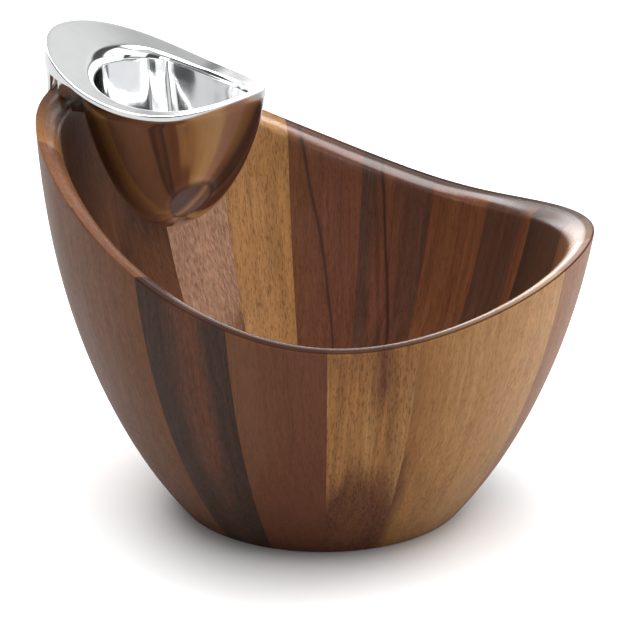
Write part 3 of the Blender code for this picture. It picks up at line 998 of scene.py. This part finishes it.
def wood(node, rim, foot, middle=None, streaks=(), pores=0.5, ripple=0.3, bands=1.0, soak=1.0):
    """Oiled acacia: broad tones across the board, lines, ripples and pores along it, darker end grain."""
    g = Material(node + "_acacia")
    number = int(node[-2:]) if node[-2:].isdigit() else 0
    board = g.attribute("board", "Vector")
    share, end_grain, rim_band = g.parts(g.attribute("zone", "Vector"))
    along = g.parts(board)[1]
    placed = g.scaled(board, (1, 1, 1), [step * number for step in BOARD_OFFSET])

    drift = g.noise(placed, *DRIFT_NOISE)
    share = g.math("ADD", share, g.fit(drift, 0.2, 0.8, -DRIFT_ACROSS, DRIFT_ACROSS, smooth=False))
    level = g.math("ADD", along, g.fit(drift, 0.2, 0.8, -DRIFT_ALONG, DRIFT_ALONG, smooth=False))
    colour = g.mix(g.fit(level, *FOOT_TO_MIDDLE), g.ramp(share, foot), g.ramp(share, middle or rim))
    colour = g.mix(g.fit(level, *MIDDLE_TO_RIM), colour, g.ramp(share, rim))

    fibres = g.noise(placed, *FIBRE_NOISE)
    colour = g.mottled(colour, g.noise(placed, *LINE_NOISE), 0.2, LINE_SHADES, bands)
    colour = g.mottled(colour, fibres, 0.25, FIBRE_SHADES)
    figure = g.noise(g.turned(placed, RIPPLE_SLANT), *FIGURE_NOISE)
    colour = g.mottled(colour, figure, 0.2, RIPPLE_SHADES, ripple)
    vessels = wood_pores(g, placed, pores)
    colour = g.shaded(colour, PORE_SHADE, vessels)
    for streak in streaks:
        colour = wood_streak(g, colour, share, along, *streak)
    soaked = g.shaded(g.mix(0.5, colour, TONES["brown"]), SOAKED_SHADE)
    g.give(g.mix(g.fit(end_grain, *SOAKED_FACING, 0.0, soak), colour, soaked), "Base Color")

    rough = g.fit(g.noise(placed, *SMEAR_NOISE), 0.3, 0.7, *WOOD_ROUGHNESS, smooth=False)
    rough = g.math("ADD", rough, g.math("MULTIPLY", vessels, PORE_ROUGHNESS))
    g.give(g.math("SUBTRACT", rough, g.math("MULTIPLY", rim_band, RIM_SMOOTHNESS)), "Roughness")
    g.give_relief(g.math("SUBTRACT", g.math("MULTIPLY", fibres, FIBRE_RELIEF), vessels), *WOOD_RELIEF)
    gloss = g.fit(end_grain, *DULL_FACING, WOOD_GLOSS, END_GRAIN_GLOSS)
    g.give(g.fit(rim_band, 0.0, 1.0, gloss, RIM_GLOSS, smooth=False), "Specular IOR Level")
    return g.material


def wood_pores(g, placed, pores):
    """How far each spot is an open pore: short dashes that crowd in places, and single vessels."""
    crowd = g.noise(placed, *CROWD_NOISE)
    threshold = g.fit(crowd, 0.3, 0.7, *DASH_THRESHOLD, smooth=False)
    dashes = g.fit(g.math("SUBTRACT", g.noise(placed, *DASH_NOISE), threshold), 0.0, PORE_EDGE)
    cells = g.node("TexVoronoi", {"feature": "F1"}, Vector=g.scaled(placed, VESSEL_SCALE), Scale=1.0,
                   Randomness=1.0)
    chance = g.node("SeparateColor", Color=cells.outputs["Color"]).outputs[0]
    size = g.fit(chance, VESSEL_CHANCE, 1.0, 0.0, VESSEL_SIZE, smooth=False)
    holes = g.fit(g.math("SUBTRACT", size, cells.outputs["Distance"]), 0.0, PORE_EDGE)
    return g.math("MAXIMUM", g.math("MULTIPLY", dashes, DASH_STRENGTH * pores),
                  g.math("MULTIPLY", holes, VESSEL_STRENGTH[0] + VESSEL_STRENGTH[1] * pores))


def wood_streak(g, colour, share, along, rim_place, foot_place, half_width, strength):
    """The colour with one dark line that runs from the foot of the board to its rim."""
    line = g.fit(along, *STREAK_HEIGHTS, foot_place, rim_place, smooth=False)
    away = g.math("ABSOLUTE", g.math("SUBTRACT", share, line))
    dark = g.math("MULTIPLY", g.fit(away, 0.0, half_width, 1.0, 0.0), strength)
    return g.mix(dark, colour, TONES["ebony"])


def alloy():
    """Polished cast aluminium: near-mirror, satin on the flange's top, with haze, fine grain and waviness,
    and painted shade that darkens the outside, the body and the flange's top.
    """
    g = Material("polished_alloy")
    place = g.node("TexCoord").outputs["Object"]
    height = g.parts(place)[2]
    facing = g.parts(g.node("NewGeometry").outputs["Normal"])[2]
    flange = g.math("MULTIPLY", g.fit(facing, *FLANGE_FACING), g.fit(height, *FLANGE_HEIGHTS))
    outside = g.attribute("outside", "Fac")
    body = g.math("MULTIPLY", outside, g.fit(height, *BODY_HEIGHTS, 1.0, 0.0))
    haze = g.noise(place, *HAZE_NOISE)
    fine = g.math("MULTIPLY", g.noise(place, *FINE_NOISE), FINE_RELIEF)
    wave = g.noise(place, *WAVE_NOISE)

    colour = g.mix(g.fit(haze, 0.3, 0.7), ALLOY_DARK, ALLOY_LIGHT)
    # Painted shade: the outside, the body and the flange's top are darkened in colour, standing in for shade
    # on what they mirror.
    colour = g.shaded(colour, PAINTED_OUTSIDE_SHADE, outside)
    colour = g.shaded(colour, PAINTED_BODY_SHADE, body)
    g.give(g.shaded(colour, PAINTED_FLANGE_SHADE, flange), "Base Color")
    rough = g.fit(haze, 0.25, 0.75, *ALLOY_ROUGHNESS, smooth=False)
    rough = g.math("ADD", rough, g.math("MULTIPLY", flange, FLANGE_ROUGHNESS))
    g.give(g.math("ADD", rough, g.math("MULTIPLY", outside, OUTSIDE_ROUGHNESS)), "Roughness")
    g.give_relief(g.math("ADD", wave, fine), *ALLOY_RELIEF)
    g.give(1.0, "Metallic")
    return g.material


# ---------------------------------------------------------------- studio

def aimed(obj, place, target):
    obj.location = place
    obj.rotation_euler = (Vector(target) - Vector(place)).to_track_quat("-Z", "Y").to_euler()
    bpy.context.scene.collection.objects.link(obj)


def make_camera():
    camera = bpy.data.cameras.new("camera")
    camera.lens = LENS
    camera.sensor_width = SENSOR
    camera.clip_end = VIEW_FAR
    made = bpy.data.objects.new("camera", camera)
    back = Vector((math.sin(VIEW_AZIMUTH) * math.cos(VIEW_ELEVATION),
                   -math.cos(VIEW_AZIMUTH) * math.cos(VIEW_ELEVATION), math.sin(VIEW_ELEVATION)))
    aimed(made, VIEW_TARGET + back * VIEW_DISTANCE, VIEW_TARGET)
    bpy.context.scene.camera = made


def make_floor():
    """White paper, which bounces less light than it shows to the camera, so that the wood isn't faded."""
    mesh = bpy.data.meshes.new("floor")
    bm = bmesh.new()
    bmesh.ops.create_grid(bm, x_segments=1, y_segments=1, size=FLOOR_SIZE)
    bm.to_mesh(mesh)
    bm.free()
    floor = bpy.data.objects.new("floor", mesh)
    floor.location.z = -FLOOR_DROP
    bpy.context.scene.collection.objects.link(floor)
    g = Material("white_paper")
    seen = g.node("LightPath").outputs["Is Camera Ray"]
    g.give(g.mix(seen, (FLOOR_BOUNCE,) * 3, (FLOOR_SEEN,) * 3), "Base Color")
    g.give(PAPER_ROUGHNESS, "Roughness")
    g.give(PAPER_GLOSS, "Specular IOR Level")
    mesh.materials.append(g.material)


def make_dome():
    """The studio as light that comes from each direction: white paper to the camera, walls to the rest."""
    world = bpy.data.worlds.new("studio")
    bpy.context.scene.world = world
    world.use_nodes = True
    g = Graph(world.node_tree)
    background = g.tree.nodes["Background"]
    background.inputs["Color"].default_value = (1, 1, 1, 1)
    x, y, z = g.parts(g.node("TexCoord").outputs["Generated"])
    turn = g.math("MULTIPLY", g.math("ARCTAN2", x, y), 180 / math.pi)
    light = DOME_DARK
    for start, end, low, high, strength in DOME_PANELS:
        across = g.math("MULTIPLY", g.fit(turn, start - PANEL_EDGE_TURN, start + PANEL_EDGE_TURN),
                        g.fit(turn, end - PANEL_EDGE_TURN, end + PANEL_EDGE_TURN, 1.0, 0.0))
        up = g.math("MULTIPLY", g.fit(z, low - PANEL_EDGE_RISE, low + PANEL_EDGE_RISE),
                    g.fit(z, high - PANEL_EDGE_RISE, high + PANEL_EDGE_RISE, 1.0, 0.0))
        light = g.math("ADD", light, g.math("MULTIPLY", g.math("MULTIPLY", across, up), strength))
    seen = g.node("LightPath").outputs["Is Camera Ray"]
    g.put(g.fit(seen, 0, 1, light, BACKDROP_SEEN, smooth=False), background.inputs["Strength"])


bpy.context.scene.view_settings.view_transform = "Standard"
make_floor()
make_dome()
make_camera()
make_staves()
make_disc()
make_dip_bowl()
